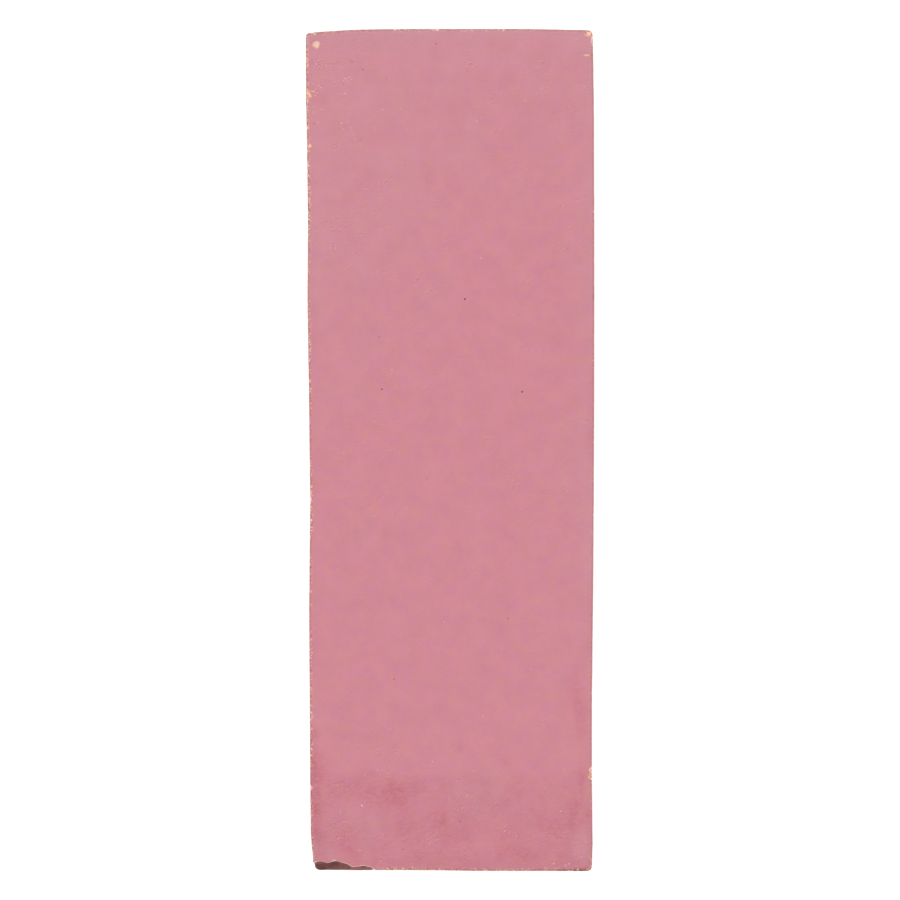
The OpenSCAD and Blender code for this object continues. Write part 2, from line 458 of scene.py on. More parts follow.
def coat(name, under, over, under_limit, limit, spacing, spotted=False):
    """A coat between two layers: over the face, round the arris and down to a rounded, ragged end.

    under_limit is None where the coat lies on the clay, or the limit of the coat that it lies on.
    A spotted coat has the face's pits, specks and pimples.
    """
    def under_inset(z):
        """Inset of what this coat lies on, at each point's own height."""
        inset = CLAY.inset + DRAFT * (CLAY.top - z)
        if under_limit is None:
            return inset
        depth = (under.top - z) / under_limit
        return inset - (CLAY.inset - under.inset) * np.sqrt(np.clip(1 - fade(depth, 0.8, 1), 0, 1))

    outer = arris_rings(over)
    inner = arris_rings(under)
    low = over.top - limit
    for k in range(1, COAT_RINGS + 1):
        share = k / COAT_RINGS
        z = (over.top - over.arris) * (1 - share) + low * share
        bead = math.sqrt(max(0, 1 - (max(0, share - 0.7) / 0.3) ** 2))
        outer.append(side_ring(over, over.top - z, under_inset(z) - (under.inset - over.inset) * bead))
    for k in range(1, COAT_RINGS // 2):
        share = k / (COAT_RINGS // 2)
        z = (under.top - under.arris) * (1 - share) + low * share
        inner.append(side_ring(under, under.top - z, under_inset(z)))
    face = face_points(over, outer[0], spacing, 141, FACE_PITS + FACE_SPECKS if spotted else None)
    if spotted:
        face[:, 2] -= spot_relief(face[:, :2], FACE_PITS) - spot_relief(face[:, :2], FACE_SPECKS)
        face[:, 2] += pimples(face[:, :2]) * fade(inset_at(face[:, :2]), 0.4, 1.2)
    return shell(name, outer + inner[::-1], face, face_points(under, inner[0], HIDDEN_SPACING, 151))


# ---------- damage

# The broken corner's ragged upper line, as offsets from the front left corner of the frame.
BREAK_LINE = np.array([
    [-2, 1.75], [1.8, 1.75], [2.7, 1.85], [3.4, 1.7], [4.1, 1.55], [4.6, 1.75], [5.2, 1.9], [5.8, 1.85],
    [6.5, 1.6], [7.1, 1.55], [7.6, 1.35], [8.1, 0.95], [8.7, 0.9], [9.5, 1.05], [10.2, 1.2], [10.8, 1.0],
    [11.4, 0.95], [11.9, 0.7], [12.4, 0.35], [12.8, 0.0], [13.4, -1], [16, -2],
])
BREAK_DROP = 3.4        # how far down the front the flake has gone
BREAK_STEP = 0.1        # spacing of its surface's points
BREAK_RAGGED = 0.045    # how much finer the upper line wanders than the table says
BREAK_RELIEF = 0.3      # height of the steps in the broken clay


def break_height(x, y):
    """Height of the broken surface: steep through the coats, then falling through the clay to the front."""
    corner = (-WIDTH / 2, -LENGTH / 2)
    points = flat_points(np.column_stack([x, y]))
    line = np.interp(x - corner[0], BREAK_LINE[:, 0], BREAK_LINE[:, 1]) + corner[1]
    line += BREAK_RAGGED * layered_noise(points * (1, 0.2, 1), 0.6, 3, 161)
    front = -EDGES[2][2](x)
    out = line - y
    ledge = 0.04 + 0.06 * fade(x - corner[0], 6, 8)
    reach = np.maximum(line - front - ledge, 0.2)
    fallen = np.maximum(out - ledge, 0) / reach
    coats = GLAZE.top - CLAY.top
    drop = (BREAK_DROP - coats) * fade(x - corner[0], 13.4, 12.6)
    height = GLAZE.top - HEADROOM - coats * np.minimum(out / ledge, 1) - drop * fallen
    steps = layered_noise(points * (0.45, 1.4, 1), 1.5, 4, 171)
    height += BREAK_RELIEF * steps * np.clip((out - ledge) / 0.4, 0, 1)
    return np.minimum(height, TOP + 2)


def break_cutter():
    """A block over the broken corner whose underside is the broken surface."""
    xs = np.arange(-WIDTH / 2 - 1.5, -WIDTH / 2 + 14.5, BREAK_STEP)
    ys = np.arange(-LENGTH / 2 - 1.5, -LENGTH / 2 + 2.8, BREAK_STEP)
    grid_x, grid_y = (g.ravel() for g in np.meshgrid(xs, ys))
    low = np.column_stack([grid_x, grid_y, break_height(grid_x, grid_y)])
    high = np.column_stack([grid_x, grid_y, np.full(len(grid_x), TOP + 3)])
    wide, deep, count = len(xs), len(ys), len(grid_x)
    index = np.arange(count).reshape(deep, wide)
    quads = np.stack([index[:-1, :-1], index[:-1, 1:], index[1:, 1:], index[1:, :-1]], axis=-1)
    quads = quads.reshape(-1, 4)
    border = np.concatenate([index[0, :-1], index[:-1, -1], index[-1, :0:-1], index[:0:-1, 0]])
    following = np.roll(border, -1)
    walls = np.column_stack([border, following, following + count, border + count])
    faces = np.vstack([quads[:, ::-1], quads + count, walls])
    return mesh_object("break_cutter", np.vstack([low, high]), faces.tolist())


def ball(detail):
    """Points and faces of a round ball of triangles."""
    form = bmesh.new()
    bmesh.ops.create_icosphere(form, subdivisions=detail, radius=1)
    points = np.array([v.co for v in form.verts])
    faces = [[v.index for v in f.verts] for f in form.faces]
    form.free()
    return points, np.array(faces)


def chip_cutter(name, chips, detail, seed):
    """Rough lumps that break chips out of a coat: each chip is [centre, radii]."""
    form, faces = ball(detail)
    rng = np.random.default_rng(seed)
    all_points, all_faces = [], []
    for k, (centre, radii) in enumerate(chips):
        lump = form * (1 + 0.28 * layered_noise(form + 7 * k, 0.8, 3, seed + k)[:, None])
        a = rng.uniform(0, 2 * math.pi)
        turn = np.array([[math.cos(a), -math.sin(a), 0], [math.sin(a), math.cos(a), 0], [0, 0, 1]])
        all_points.append(lump @ turn.T * radii + centre)
        all_faces.append(faces + k * len(form))
    return mesh_object(name, np.vstack(all_points), np.vstack(all_faces).tolist())


def carve(piece, cutter):
    """Cuts a cutter out of a piece and deletes it. The cut faces take the piece's second material."""
    for material in piece.data.materials:
        cutter.data.materials.append(material)
    cutter.data.polygons.foreach_set("material_index", np.ones(len(cutter.data.polygons), np.int32))
    cut = piece.modifiers.new("cut", "BOOLEAN")
    cut.operation = "DIFFERENCE"
    cut.solver = "MANIFOLD"
    cut.object = cutter
    graph = bpy.context.evaluated_depsgraph_get()
    made = bpy.data.meshes.new_from_object(piece.evaluated_get(graph))
    piece.modifiers.clear()
    old, used = piece.data, cutter.data
    piece.data = made
    bpy.data.objects.remove(cutter)
    bpy.data.meshes.remove(old)
    bpy.data.meshes.remove(used)
    made.name = piece.name


def drop_crumbs(piece):
    """Deletes what the cuts have left loose, which is all but the piece's largest connected part."""
    form = bmesh.new()
    form.from_mesh(piece.data)
    unseen = set(form.verts)
    parts = []
    while unseen:
        front = [unseen.pop()]
        part = list(front)
        while front:
            near = {edge.other_vert(vert) for vert in front for edge in vert.link_edges} & unseen
            unseen -= near
            front = list(near)
            part += front
        parts.append(part)
    parts.sort(key=len)
    crumbs = [vert for part in parts[:-1] for vert in part]
    bmesh.ops.delete(form, geom=crumbs, context="VERTS")
    form.to_mesh(piece.data)
    form.free()


# Nicks that take the glaze off the slip: [share of the width, share of the length, radii in X and Y].
NICKS = [
    [0.036, 0.982, 0.76, 0.8], [0.018, 0.9945, 0.35, 0.25], [0.0, 0.963, 0.6, 0.5],
    [0.0, 0.957, 0.55, 0.5], [0.026, 0.9262, 0.7, 0.26], [0.0, 0.9262, 1.0, 0.45],
    [0.0, 0.921, 0.75, 0.7], [0.018, 0.9195, 0.3, 0.22], [0.0, 0.914, 0.45, 0.6],
    [0.0, 0.905, 0.3, 0.5], [0.0, 0.885, 0.3, 0.9], [0.0, 0.861, 0.8, 0.45], [0.0, 0.856, 0.7, 0.4],
    [0.0, 0.845, 0.4, 0.7], [0.976, 0.969, 0.95, 0.3], [1.0, 0.996, 1.25, 1.0], [1.0, 0.986, 0.4, 1.0],
    [0.453, 1.0, 0.6, 0.3], [0.31, 1.0, 0.35, 0.22], [1.0, 0.119, 0.45, 0.75], [1.0, 0.1125, 0.7, 0.6],
    [0.02, 0.022, 0.3, 0.3], [0.0, 0.1, 0.35, 0.5], [0.0, 0.456, 0.6, 0.25], [0.0, 0.45, 0.4, 0.55],
    [0.0, 0.443, 0.35, 0.5], [0.1, 0.013, 0.5, 0.25], [0.92, 0.0, 0.7, 0.2],
]
NICK_DEPTH = 0.9
EDGE_CHIPS = 900        # places along the glazed arris where a tiny chip may be
SLIP_CHIPS = 260        # and along the slip's


def nick_chips():
    """The nicks as chips, each centred on the glaze's own surface."""
    chips = []
    for across, along, *radii in NICKS:
        xy = np.array([[(across - 0.5) * WIDTH, (along - 0.5) * LENGTH]])
        if not (0.01 < across < 0.99 and 0.01 < along < 0.99):
            nearest = OUTLINE[np.argmin(np.linalg.norm(OUTLINE - xy, axis=1))]
            xy = nearest[None].copy()
        chips.append((np.append(xy[0], TOP - face_dip(xy)[0]), np.array([*radii, NICK_DEPTH])))
    return chips


def arris_chips(layer, count, smallest, largest, seed):
    """Chips at random places along a layer's arris, each short enough to stay clear of the one before it.

    They come in clusters, and there are more on the left and front edges than on the other two.
    """
    rng = np.random.default_rng(seed)
    places = (np.arange(count) + rng.uniform(0.2, 0.8, count)) / count
    sizes = smallest + (largest - smallest) * rng.random(count) ** 2.5
    luck = rng.random(count)
    step = 2 * (WIDTH + LENGTH) / count
    chips = []
    for place, size, chance in zip(places, sizes, luck):
        edge = OUTLINE[int(place * RING_POINTS)]
        on_side = abs(edge[0]) > WIDTH / 2 - 1.5
        share = (0.95 if edge[0] < 0 else 0.3) if on_side else (0.85 if edge[1] < 0 else 0.6)
        cluster = 0.5 + 0.8 * layered_noise(flat_points(edge[None]), 5, 2, seed + 3)[0]
        if chance > share * cluster:
            continue
        xy = edge * (1 - 2 * layer.inset / SPAN)
        along = min(size * 1.3, 0.3 * step + 0.5 * size)
        radii = np.array([size, along, size] if on_side else [along, size, size])
        height = layer.top - face_dip(xy[None])[0] - rng.uniform(0, 0.4)
        chips.append((np.append(xy, height), radii))
    return chips


# ---------- masks

# Darker and redder places in the glaze:
# [share of the width, share of the length, reach in X, reach in Y, strength].
STAINS = [
    [0.985, 0.03, 1.2, 4.0, 0.3], [0.311, 0.094, 2.3, 1.7, 0.55], [0.474, 0.061, 2.2, 1.9, 0.6],
    [0.335, 0.049, 2.0, 2.0, 0.5], [0.04, 0.02, 2.0, 3.0, 0.4], [0.012, 0.45, 0.8, 55.0, 0.28],
    [0.224, 0.088, 1.7, 1.6, 0.45], [0.138, 0.037, 2.5, 2.2, 0.45], [0.035, 0.09, 1.0, 5.0, 0.7],
    [0.85, 0.055, 2.0, 1.7, 0.4], [0.925, 0.065, 0.7, 2.0, 0.6], [0.692, 0.025, 2.6, 1.3, 0.45],
    [0.761, 0.019, 2.5, 1.0, 0.5], [0.536, 0.147, 1.2, 1.2, 0.35], [0.934, 0.215, 0.8, 3.5, 0.4],
    [0.952, 0.179, 0.8, 3.0, 0.5], [0.955, 0.105, 0.7, 2.8, 0.7], [0.872, 0.63, 1.3, 1.5, 0.25],
    [0.87, 0.7, 1.5, 10.0, 0.12], [0.73, 0.86, 6.0, 8.0, 0.06], [0.683, 0.13, 0.9, 0.8, 0.3],
    [0.5, 0.012, 12.0, 1.0, 0.25], [0.044, 0.126, 1.5, 3.0, 0.3], [0.05, 0.915, 1.3, 0.8, 0.4],
    [0.03, 0.96, 0.9, 0.7, 0.5], [0.447, 0.975, 1.1, 0.9, 0.25], [0.28, 0.4, 0.9, 0.7, 0.3],
    [0.7, 0.4, 0.9, 0.7, 0.3], [0.47, 0.06, 0.6, 0.6, 0.5], [0.012, 0.45, 0.7, 4.0, 0.5],
    [0.012, 0.25, 0.6, 3.5, 0.4], [0.99, 0.55, 0.5, 9.0, 0.4], [0.99, 0.3, 0.5, 6.0, 0.4],
]
FOOT_ZONE = 0.12        # share of the length that the darker zone at the front takes
# Dirt and burnt glaze on the edges, in the same five numbers.
GRIME = [
    [0.955, 0.0, 1.8, 0.32, 1.6], [0.89, 0.0, 0.45, 0.3, 1.5], [0.3, 0.001, 1.4, 0.16, 0.8],
    [0.11, 0.9965, 1.3, 0.2, 0.3], [0.05, 0.9945, 0.6, 0.2, 0.3], [0.2, 0.999, 1.0, 0.15, 0.4],
    [0.997, 0.045, 0.2, 2.8, 0.6], [0.999, 0.68, 0.15, 1.8, 0.6], [0.999, 0.41, 0.12, 1.2, 0.5],
    [0.006, 0.78, 0.2, 1.2, 0.4], [0.012, 0.46, 0.2, 1.5, 0.5], [0.55, 1.0, 2.5, 0.12, 0.4],
]


def blobs(points, table, wobble):
    """Sum of a table's soft blobs, with their outlines made uneven by the wobble."""
    total = np.zeros(len(points))
    for across, along, reach_x, reach_y, strength in table:
        centre = ((across - 0.5) * WIDTH, (along - 0.5) * LENGTH)
        gap = np.linalg.norm((points[:, :2] - centre) / (reach_x, reach_y), axis=1)
        total += strength * np.exp(-(gap * (1 + wobble)) ** 2)
    return total


def stain_mask(points):
    """How strongly each point is stained, from 0 to 1."""
    wobble = layered_noise(points, 5, 4, 181)
    zone = fade(points[:, 1] / LENGTH + 0.5 + 0.012 * wobble, FOOT_ZONE + 0.006, FOOT_ZONE - 0.01)
    zone *= 0.24 + 0.2 * layered_noise(points, 3, 3, 201)
    return np.clip(zone + 0.8 * blobs(points, STAINS, 0.5 * wobble), 0, 1)


def shade_mask(points):
    """How much darker the front zone is than the rest, most at its corners and its very edge."""
    share = points[:, :2] / SPAN + 0.5
    zone = fade(share[:, 1] + 0.006 * layered_noise(points, 4, 3, 391), FOOT_ZONE + 0.006, FOOT_ZONE - 0.02)
    corners = np.exp(-inset_at(points[:, :2]) / 1.2)
    corners += fade(share[:, 1], 0.03, 0) * fade(share[:, 0], 0.16, 0.02)
    return np.clip(zone * (0.4 + 0.3 * layered_noise(points, 1.6, 4, 401) + 0.5 * corners), 0, 1)


def grime_mask(points):
    """How much dirt and burnt glaze there is, from 0 to 1."""
    return np.clip(blobs(points, GRIME, 0.4 * layered_noise(points, 1, 2, 361)), 0, 1)


# Greyer places in the darker zone at the front, in the same five numbers.
COOL_FOOT = [
    [0.97, 0.03, 1.4, 4.5, 0.6], [0.93, 0.06, 1.2, 4.0, 0.4], [0.6, 0.09, 3.0, 4.0, 0.4],
    [0.2, 0.05, 3.0, 3.0, 0.25], [0.07, 0.03, 2.5, 2.5, 0.6], [0.41, 0.03, 2.0, 2.0, 0.3],
]


def cool_mask(points):
    """Where the pink is greyer and bluer: at the rear left, along the edges and in places at the front."""
    share = points[:, :2] / SPAN + 0.5
    far, right, left = (1 - share[:, 1]) * LENGTH, (1 - share[:, 0]) * WIDTH, share[:, 0] * WIDTH
    rear_left = 0.32 * fade(share[:, 1] - 0.35 * share[:, 0], 0.4, 0.8)
    margins = 0.4 * np.exp(-far / 2.5) + 0.4 * np.exp(-right / 3.5) * fade(share[:, 1], 0.2, 0.3)
    margins += 0.3 * np.exp(-left / 2) * fade(share[:, 1], 0.5, 0.8)
    foot = blobs(points, COOL_FOOT, 0.5 * layered_noise(points, 3, 3, 381))
    return np.clip(rear_left + margins + foot + 0.16 * layered_noise(points, 4, 4, 351), 0, 1)


def set_masks(piece, **masks):
    """Stores point masks on a piece, each a function of its points in millimetres."""
    mesh = piece.data
    points = np.empty(len(mesh.vertices) * 3, np.float32)
    mesh.vertices.foreach_get("co", points)
    points = points.reshape(-1, 3) / MM
    for name, mask in masks.items():
        layer = mesh.attributes.new(name, "FLOAT", "POINT")
        layer.data.foreach_set("value", np.asarray(mask(points), np.float32))


def rosy_mask(points):
    """Where the broken clay turns from brown to a rosier red: on its shallow right-hand end."""
    corner = points[:, :2] + SPAN / 2
    slanted = corner[:, 0] - 0.8 * corner[:, 1] + 0.6 * layered_noise(points, 1.2, 2, 371)
    return fade(slanted, 4.5, 7) * fade(slanted, 14.5, 13.5) * fade(corner[:, 1], 3, 2)


def rim_mask(points):
    """1 on the arris, falling to 0 a little way in on the face and lower down the sides."""
    return fade(inset_at(points[:, :2]), 0.65, 0.15) * fade(TOP - points[:, 2], 2.2, 0.9)


def side_mask(points):
    """How much each stretch of the edge is worn, from 0 to 1: most at the left and front."""
    xy = points[:, :2]
    left = fade(xy[:, 0], -WIDTH / 2 + 4, -WIDTH / 2 + 1)
    front = fade(xy[:, 1], -LENGTH / 2 + 4, -LENGTH / 2 + 1)
    rear = fade(xy[:, 1], LENGTH / 2 - 4, LENGTH / 2 - 1)
    patchy = 0.55 + 0.6 * layered_noise(points, 6, 2, 321)
    return np.clip(np.maximum.reduce([left, 0.9 * front, 0.6 * rear, np.full(len(xy), 0.2)]) * patchy, 0, 1)


# ---------- materials


def srgb(red, green, blue):
    """A colour as it looks on screen, 0 to 255, as the linear colour that a shader takes."""
    shares = np.array([red, green, blue]) / 255
    linear = np.where(shares <= 0.04045, shares / 12.92, ((shares + 0.055) / 1.055) ** 2.4)
    return (*linear.tolist(), 1.0)


class Paint:
    """One Principled material and the nodes that feed it. Its patterns are sized in millimetres."""

    def __init__(self, name):
        self.material = bpy.data.materials.new(name)
        self.material.use_nodes = True
        self.nodes, self.links = self.material.node_tree.nodes, self.material.node_tree.links
        self.shader = self.nodes["Principled BSDF"]
        place = self.node("TexCoord").outputs["Object"]
        self.place = self.operate("VectorMath", "MULTIPLY", place, (1 / MM,) * 3)

    def node(self, kind):
        return self.nodes.new("ShaderNode" + kind)

    def link(self, value, socket):
        """Sets a socket to a number or colour, or links it to an output."""
        if isinstance(value, bpy.types.NodeSocket):
            self.links.new(value, socket)
        elif value is not None:
            socket.default_value = value

    def operate(self, kind, operation, first, second):
        """The result of a calculation node with two inputs."""
        node = self.node(kind)
        node.operation = operation
        self.link(first, node.inputs[0])
        self.link(second, node.inputs[1])
        return node.outputs[0]

    def noise(
        self, cell, detail=2.0, roughness=0.5, stretch=(1, 1, 1), distortion=0.0, shift=0.0,
        nudge=(0, 0, 0)
    ):
        """Noise with features about one cell wide, times the stretch, and moved by the nudge."""
        node = self.node("TexNoise")
        at = self.operate("VectorMath", "MULTIPLY", self.place, tuple(1 / s for s in stretch))
        moved = self.operate("VectorMath", "ADD", at, tuple(shift + n for n in nudge))
        self.link(moved, node.inputs["Vector"])
        settings = {"Scale": 1 / cell, "Detail": detail, "Roughness": roughness, "Distortion": distortion}
        for socket, number in settings.items():
            node.inputs[socket].default_value = number
        return node.outputs["Fac"]

    def mask(self, name):
        """One of the piece's point masks."""
        node = self.node("Attribute")
        node.attribute_name = name
        return node.outputs["Fac"]

    def span(self, value, low, high, to_low=0.0, to_high=1.0):
        """Maps low..high to to_low..to_high, without going past them."""
        node = self.node("MapRange")
        sockets = ("Value", "From Min", "From Max", "To Min", "To Max")
        for socket, number in zip(sockets, (value, low, high, to_low, to_high)):
            self.link(number, node.inputs[socket])
        return node.outputs["Result"]

    def total(self, *values):
        """The sum of two or more numbers or patterns."""
        return functools.reduce(lambda a, b: self.operate("Math", "ADD", a, b), values)

    def product(self, *values):
        """Two or more numbers or patterns multiplied."""
        return functools.reduce(lambda a, b: self.operate("Math", "MULTIPLY", a, b), values)

    def mix(self, share, first, second):
        """The first colour, with the second over it where share is 1."""
        node = self.node("Mix")
        node.data_type = "RGBA"
        self.link(share, node.inputs[0])
        self.link(first, node.inputs[6])
        self.link(second, node.inputs[7])
        return node.outputs[2]

    def brighten(self, colour, factor):
        """A colour times a factor that changes over the surface."""
        node = self.node("HueSaturation")
        self.link(colour, node.inputs["Color"])
        self.link(factor, node.inputs["Value"])
        return node.outputs["Color"]

    def finish(self, colour, roughness, *reliefs):
        """The material, with its colour, roughness and fine reliefs: [height pattern, depth in mm] each."""
        self.link(colour, self.shader.inputs["Base Color"])
        self.link(roughness, self.shader.inputs["Roughness"])
        normal = None
        for pattern, depth in reliefs:
            node = self.node("Bump")
            node.inputs["Distance"].default_value = depth * MM
            self.link(pattern, node.inputs["Height"])
            self.link(normal, node.inputs["Normal"])
            normal = node.outputs["Normal"]
        self.link(normal, self.shader.inputs["Normal"])
        return self.material


def waver(paint, pattern, amount):
    """A pattern of 0..1 as a swing of that amount either side of nothing."""
    return paint.span(pattern, 0.25, 0.75, -amount, amount)


GLAZE_ROSE = srgb(212, 136, 143)
GLAZE_MAUVE = srgb(210, 132, 151)
GLAZE_COOL = srgb(206, 144, 155)
GLAZE_STAIN = srgb(199, 108, 122)
GLAZE_PIT_SHADE = srgb(100, 46, 66)
GLAZE_RELIEF_SHADE = srgb(172, 96, 110)
GLAZE_RELIEF_HIGHLIGHT = srgb(240, 178, 182)
GLAZE_SPECK_HIGHLIGHT = srgb(244, 200, 194)
GLAZE_RIM = srgb(168, 104, 92)
GLAZE_BROKEN = srgb(224, 152, 144)
SLIP_CREAM = srgb(250, 216, 202)
SLIP_PINK = srgb(240, 190, 183)
SLIP_ORANGE = srgb(232, 164, 120)
EDGE_DARK = srgb(120, 88, 76)
GRIME_BROWN = srgb(104, 58, 46)
CLAY_BROWN = srgb(128, 76, 66)
CLAY_DARK = srgb(84, 50, 46)
CLAY_RED = srgb(150, 88, 74)
CLAY_DUST = srgb(186, 140, 118)
CLAY_BROKEN = srgb(122, 70, 63)
CLAY_SCORCHED = srgb(62, 36, 36)
CLAY_ROSE = srgb(156, 86, 84)


def flecks(paint, cell, low, high, shift):
    """Small irregular flecks: 1 where a fine noise is above high, 0 where it is below low."""
    return paint.span(paint.noise(cell, 1.5, 0.5, distortion=0.5, shift=shift), low, high)


def flecked(paint, colour, rows):
    """A colour with flecks of others over it. Each row is [where, size, low, high, shift, colour]."""
    for where, cell, low, high, shift, fleck in rows:
        colour = paint.mix(paint.product(where, flecks(paint, cell, low, high, shift)), colour, fleck)
    return colour


def painted_relief_light(paint, cell, shift):
    """Painted light and shade of a fine relief lit from the rear left: above 0 on its painted lit sides,
    below 0 on its painted shaded sides.
    """
    here = paint.noise(cell, 2, 0.55, distortion=0.9, shift=shift)
    beside = paint.noise(cell, 2, 0.55, distortion=0.9, shift=shift, nudge=(-0.08, 0.13, 0))
    return paint.operate("Math", "SUBTRACT", here, beside)


def glaze_paint():
    """Satin pink glaze: clouded, stained, speckled and pitted, and worn to the slip along its edges, with
    painted light and shade on its fine relief, painted shade in its pits and painted highlights on its
    specks.
    """
    paint = Paint("satin_glaze")
    names = ("rim", "worn", "stain", "cool", "rough", "shade")
    rim, worn, stain, cool, rough, shade = (paint.mask(name) for name in names)
    hue = paint.noise(2.4, 3, 0.6, shift=31)
    cloud = paint.noise(4, 5, 0.62, shift=57)
    grain = paint.noise(0.35, 2, 0.5, shift=83)
    lit = painted_relief_light(paint, 0.42, 61)
    colour = paint.mix(paint.span(hue, 0.35, 0.65), GLAZE_ROSE, GLAZE_MAUVE)
    colour = paint.mix(cool, colour, GLAZE_COOL)
    streaks = paint.noise(0.8, 4, 0.7, stretch=(1.5, 1, 1), shift=97)
    colour = paint.mix(paint.product(stain, paint.span(streaks, 0.34, 0.62, 0.3, 1.0)), colour, GLAZE_STAIN)
    # The swing holds painted light and shade of the fine relief where the glaze is rough.
    swing = paint.total(
        1.0, waver(paint, cloud, 0.042), waver(paint, grain, 0.008), paint.product(lit, rough, 0.08),
        paint.product(shade, -0.055)
    )
    colour = paint.brighten(colour, swing)
    few = paint.span(paint.noise(1.4, 3, 0.6, shift=71), 0.5, 0.64, 0.1, 1.2)
    inside = paint.product(paint.span(rim, 0.2, 0.0), few, paint.total(rough, 0.15))
    marked = paint.total(inside, paint.product(stain, 0.8))
    # Painted shade on the shaded sides of the fine relief, and painted highlights on its lit sides.
    shaded = paint.product(paint.span(lit, -0.09, -0.18), marked, 0.5)
    colour = paint.mix(shaded, colour, GLAZE_RELIEF_SHADE)
    colour = paint.mix(paint.product(paint.span(lit, 0.1, 0.2), inside, 0.55), colour, GLAZE_RELIEF_HIGHLIGHT)
    colour = flecked(paint, colour, [
        # Painted highlights on the specks, paler where they stand higher.
        [paint.mask("speck"), 0.26, 0.32, 0.44, 163, GLAZE_SPECK_HIGHLIGHT],
        # Painted shade in the pits, darker where they are deeper.
        [paint.mask("pit"), 0.4, 0.24, 0.42, 167, GLAZE_PIT_SHADE],
    ])
    colour = paint.mix(paint.span(rim, 0.4, 1.0, 0, 0.4), colour, GLAZE_RIM)
    edge = paint.product(paint.span(rim, 0.1, 0.8), worn)
    # Orange, dark brown and cream flecks along the worn edge, then the grime.
    colour = flecked(paint, colour, [
        [edge, 0.4, 0.54, 0.62, 137, SLIP_ORANGE],
        [edge, 0.3, 0.55, 0.63, 149, EDGE_DARK],
        [edge, 0.32, 0.56, 0.63, 131, SLIP_CREAM],
        [paint.mask("grime"), 0.5, 0.36, 0.5, 151, GRIME_BROWN],
    ])
    satin = paint.total(paint.span(cloud, 0.3, 0.7, 0.3, 0.4), paint.product(rim, 0.3))
    paint.shader.inputs["Coat Weight"].default_value = 0.1
    paint.shader.inputs["Coat Roughness"].default_value = 0.15
    ripples = paint.noise(1.4, 3, 0.5, shift=7)
    return paint.finish(colour, satin, [ripples, 0.012], [paint.product(grain, rough), 0.01])


def broken_glaze_paint():
    """Glaze seen where it is broken: paler, rougher and patched with slip."""
    paint = Paint("broken_glaze")
    patches = paint.noise(0.5, 3, 0.6, shift=11)
    colour = paint.mix(paint.span(patches, 0.42, 0.56), GLAZE_BROKEN, SLIP_CREAM)
    colour = paint.mix(flecks(paint, 0.35, 0.57, 0.65, 13), colour, EDGE_DARK)
    return paint.finish(colour, paint.span(patches, 0.3, 0.7, 0.45, 0.7), [paint.noise(0.25, 3, 0.6), 0.03])


def slip_paint(name, orange):
    """Porous slip, orange where it is worn thin. orange is how strongly, from 0 to 1."""
    paint = Paint(name)
    rim, foot = paint.mask("rim"), paint.mask("foot")
    patches = paint.noise(0.8, 4, 0.62, shift=19)
    thin = paint.product(paint.span(rim, 0, 0.8, 0.1, orange), paint.span(patches, 0.44, 0.56))
    colour = paint.mix(thin, SLIP_CREAM, SLIP_ORANGE)
    blotches = paint.noise(0.5, 3, 0.6, shift=29)
    pinker = paint.product(paint.span(rim, 0, 1, 0.9, 0.25), paint.span(blotches, 0.4, 0.56))
    colour = paint.mix(pinker, colour, SLIP_PINK)
    dirt = paint.span(paint.noise(0.4, 2, shift=37), 0.64, 0.74, 0, 0.6)
    colour = paint.mix(paint.product(dirt, rim), colour, CLAY_RED)
    soaked = paint.product(foot, paint.span(paint.noise(1.3, 4, 0.65, shift=43), 0.3, 0.5))
    colour = paint.mix(soaked, colour, CLAY_RED)
    return paint.finish(colour, paint.span(patches, 0.3, 0.7, 0.65, 0.9), [paint.noise(0.3, 3, 0.6), 0.03])


def clay_paint(name, base, dark, pale, cloud_size, dust):
    """Fired clay with grog, scorch and dust. dust is how much of its surface is paler with it."""
    paint = Paint(name)
    clouds = paint.noise(cloud_size, 4, 0.6)
    streaks = paint.noise(1.5, 4, 0.65, stretch=(3, 3, 1), shift=23)
    grog = paint.noise(0.45, 2, 0.5, shift=41)
    colour = paint.mix(paint.product(paint.mask("rosy"), 0.8), base, pale)
    colour = paint.mix(paint.span(clouds, 0.35, 0.65, 0, 0.6), colour, dark)
    colour = paint.mix(paint.span(streaks, 0.42, 0.68, 0, 0.6), colour, pale)
    dusty = paint.span(paint.noise(2.5, 6, 0.75, stretch=(2, 2, 1), shift=61), 0.45, 0.7)
    colour = paint.mix(paint.product(dusty, dust), colour, CLAY_DUST)
    colour = paint.mix(paint.span(grog, 0.62, 0.7, 0, 0.7), colour, pale)
    colour = paint.mix(paint.span(grog, 0.36, 0.28, 0, 0.7), colour, dark)
    paint.shader.inputs["Specular IOR Level"].default_value = 0.3
    matt = paint.span(clouds, 0.3, 0.7, 0.8, 0.95)
    pores = paint.noise(0.18, 3, 0.6, shift=71)
    return paint.finish(colour, matt, [streaks, 0.06], [grog, 0.05], [pores, 0.03])


# ---------- assembly

SHARP_ANGLE = 40        # degrees between faces past which an edge is shaded sharp
LEAST_SLIP = 0.15       # how much slip shows below the glaze where least does
CHIP_DETAIL = 1         # subdivisions of the lumps that break tiny chips out of a coat
NICK_DETAIL = 4         # and of those that break out its nicks


def dress(piece, whole, broken):
    """Gives a piece its material, and as its second one that of its broken surfaces."""
    piece.data.materials.append(whole)
    piece.data.materials.append(broken)


def finish_piece(piece, node):
    """Smooth shading with sharp broken edges, and the piece's place in the frame."""
    mesh = piece.data
    mesh.shade_smooth()
    mesh.set_sharp_from_angle(angle=math.radians(SHARP_ANGLE))
    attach(piece, "root")
    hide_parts(node)


glaze_limit = run_limit(GLAZE.run, seed=211)
slip_showing = 0.55 + 0.4 * layered_noise(flat_points(OUTLINE), 6, 4, seed=191)
slip_limit = np.minimum(glaze_limit + np.clip(slip_showing, LEAST_SLIP, None), 0.98 * SLIP.run)

